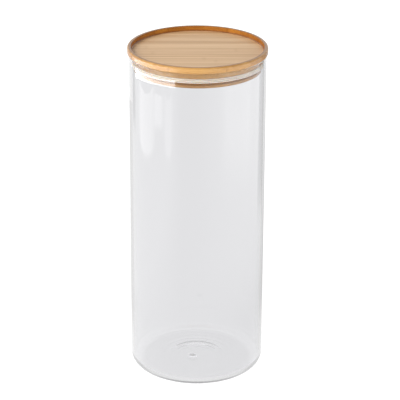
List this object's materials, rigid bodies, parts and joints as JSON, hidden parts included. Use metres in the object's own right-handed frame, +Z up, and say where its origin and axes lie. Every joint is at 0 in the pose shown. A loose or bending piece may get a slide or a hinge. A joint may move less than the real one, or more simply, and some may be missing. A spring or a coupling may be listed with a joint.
{
  "type": "storage canister",
  "caption": "Tall round glass storage canister with a lift-off bamboo lid, a shallow tray in the lid's top and a finned silicone seal round its plug.",
  "frame": {"origin": "centre of the base, on the plane that the jar stands on", "axes": "+Z up along the jar's axis, +X along the grain of the bamboo lid, to the viewer's right"},
  "size_m": [0.102, 0.102, 0.2515],
  "materials": {
    "clear_glass": "clear fire-polished borosilicate glass",
    "bamboo_top": "sanded bamboo with a thin satin oil, its grain along X",
    "bamboo_middle": "sanded bamboo with a thin satin oil, its grain along X",
    "bamboo_bottom": "sanded bamboo with a thin satin oil, its grain along X",
    "silicone": "matt, milky, slightly translucent silicone"
  },
  "bodies": {
    "jar": {"glass_jar": "clear_glass"},
    "seal": {"seal_ring": "silicone"},
    "lid": {"lid_top_ply": "bamboo_top", "lid_middle_ply": "bamboo_middle", "lid_bottom_ply": "bamboo_bottom"}
  },
  "joints": [
    {"name": "lid_lift", "type": "slide", "parent": "jar", "child": "seal", "axis": [0, 0, 1], "range_m": [0, 0.15]},
    {"name": "lid_turn", "type": "hinge", "parent": "seal", "child": "lid", "pos_m": [0, 0, 0.24], "axis": [0, 0, 1], "continuous": true}
  ]
}
